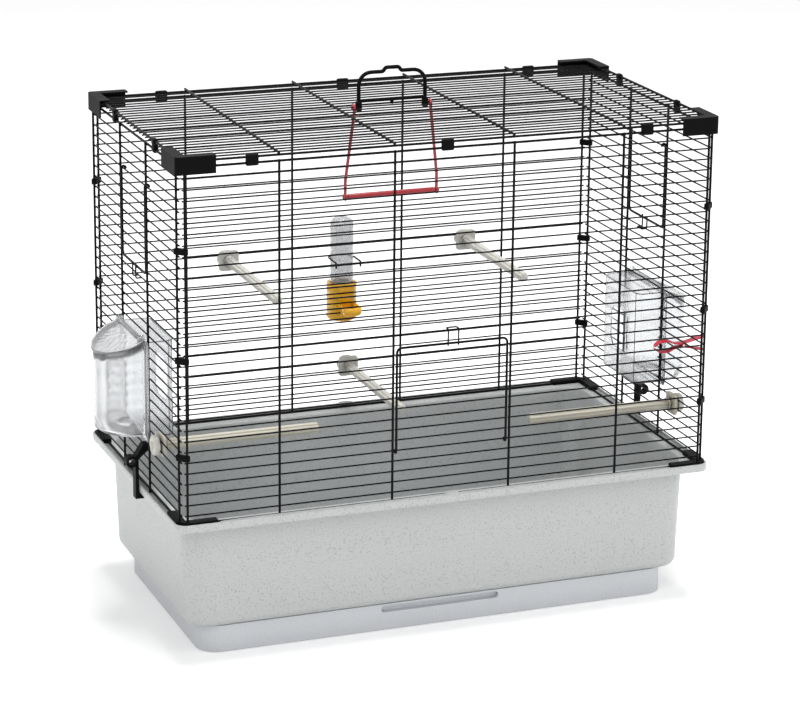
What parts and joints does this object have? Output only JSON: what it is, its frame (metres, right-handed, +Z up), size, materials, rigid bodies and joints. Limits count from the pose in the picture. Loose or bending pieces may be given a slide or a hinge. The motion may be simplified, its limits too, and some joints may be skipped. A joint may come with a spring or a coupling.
{
  "type": "bird cage",
  "caption": "Wire bird cage on a moulded tub with a pull-out tray, hung doors, clear feeders, a drinker, perches, a swing and a carrying handle.",
  "frame": {"origin": "on the floor under the middle of the wire cage, at the middle of the base frame's rib", "axes": "+X to the right along the front, +Y to the back, +Z up"},
  "size_m": [0.6496, 0.3455, 0.549],
  "materials": {
    "wire": "satin black coating",
    "black_plastic": "satin moulded black",
    "tub": "light grey with a fine dark speckle",
    "drawer": "light bluish grey",
    "clear": "clear plastic",
    "amber": "amber plastic",
    "swing_red": "dark red plastic",
    "peg_red": "crimson plastic",
    "cream": "cream plastic",
    "warm_grey": "warm light grey plastic",
    "steel": "bright steel pin"
  },
  "bodies": {
    "cage": {"back_left_cap": "black_plastic", "back_left_shoe": "black_plastic", "back_panel": "wire", "back_right_cap": "black_plastic", "back_right_shoe": "black_plastic", "base_frame": "drawer", "base_tub": "tub", "centre_back_perch": "warm_grey", "drinker_base": "amber", "drinker_holder": "wire", "front_left_cap": "black_plastic", "front_left_shoe": "black_plastic", "front_panel": "wire", "front_right_cap": "black_plastic", "front_right_shoe": "black_plastic", "handle": "black_plastic", "left_back_perch": "warm_grey", "left_feeder_hood": "clear", "left_feeder_hopper": "clear", "left_low_perch": "cream", "left_panel": "wire", "long_clips": "black_plastic", "peg_lower_lever": "peg_red", "peg_pin": "steel", "perch_nuts": "warm_grey", "post_clips": "black_plastic", "right_back_perch": "warm_grey", "right_feeder_hood": "clear", "right_feeder_hopper": "clear", "right_low_perch": "cream", "right_panel": "wire", "roof_panel": "wire", "short_clips": "black_plastic"},
    "drawer": {"drawer": "drawer"},
    "front_door": {"front_door_frame": "wire", "front_door_rows": "wire"},
    "left_door": {"left_door_frame": "wire", "left_door_rows": "wire"},
    "right_door": {"right_door_frame": "wire", "right_door_rows": "wire"},
    "left_feeder_lid": {"left_feeder_lid": "clear"},
    "right_feeder_lid": {"right_feeder_lid": "clear"},
    "swing": {"swing_arms": "swing_red", "swing_perch": "swing_red"},
    "drinker_tube": {"drinker_tube": "clear"},
    "left_base_latch": {"left_base_latch": "black_plastic"},
    "right_base_latch": {"right_base_latch": "black_plastic"},
    "peg_upper_lever": {"peg_upper_lever": "peg_red"}
  },
  "joints": [
    {"name": "drawer_slide", "type": "slide", "parent": "cage", "child": "drawer", "axis": [0, -1, 0], "range_m": [0, 0.24]},
    {"name": "front_door_hinge", "type": "hinge", "parent": "cage", "child": "front_door", "pos_m": [0, -0.15083, 0.19826], "axis": [1, 0, 0], "range_deg": [0, 150]},
    {"name": "left_door_hinge", "type": "hinge", "parent": "cage", "child": "left_door", "pos_m": [-0.27793, 0, 0.45818], "axis": [0, 1, 0], "range_deg": [0, 120]},
    {"name": "right_door_hinge", "type": "hinge", "parent": "cage", "child": "right_door", "pos_m": [0.27793, 0, 0.45818], "axis": [0, -1, 0], "range_deg": [0, 120]},
    {"name": "left_feeder_lid_hinge", "type": "hinge", "parent": "cage", "child": "left_feeder_lid", "pos_m": [-0.28635, 0, 0.3048], "axis": [0, 1, 0], "range_deg": [0, 80]},
    {"name": "right_feeder_lid_hinge", "type": "hinge", "parent": "cage", "child": "right_feeder_lid", "pos_m": [0.28635, 0, 0.3048], "axis": [0, -1, 0], "range_deg": [0, 80]},
    {"name": "swing_hinge", "type": "hinge", "parent": "cage", "child": "swing", "pos_m": [0, 0.02148, 0.50785], "axis": [1, 0, 0], "range_deg": [-40, 40]},
    {"name": "drinker_tube_lift", "type": "slide", "parent": "cage", "child": "drinker_tube", "axis": [0, 0, 1], "range_m": [0, 0.09]},
    {"name": "left_base_latch_hinge", "type": "hinge", "parent": "cage", "child": "left_base_latch", "pos_m": [-0.27793, -0.025, 0.18743], "axis": [0, 1, 0], "range_deg": [0, 65]},
    {"name": "right_base_latch_hinge", "type": "hinge", "parent": "cage", "child": "right_base_latch", "pos_m": [0.27793, 0.025, 0.18743], "axis": [0, -1, 0], "range_deg": [0, 65]},
    {"name": "peg_squeeze", "type": "hinge", "parent": "cage", "child": "peg_upper_lever", "pos_m": [0.283, -0.09, 0.25676], "axis": [0, 1, 0], "range_deg": [0, 18], "stiffness_Nm_per_rad": 0.25, "springref_deg": -11.46}
  ]
}
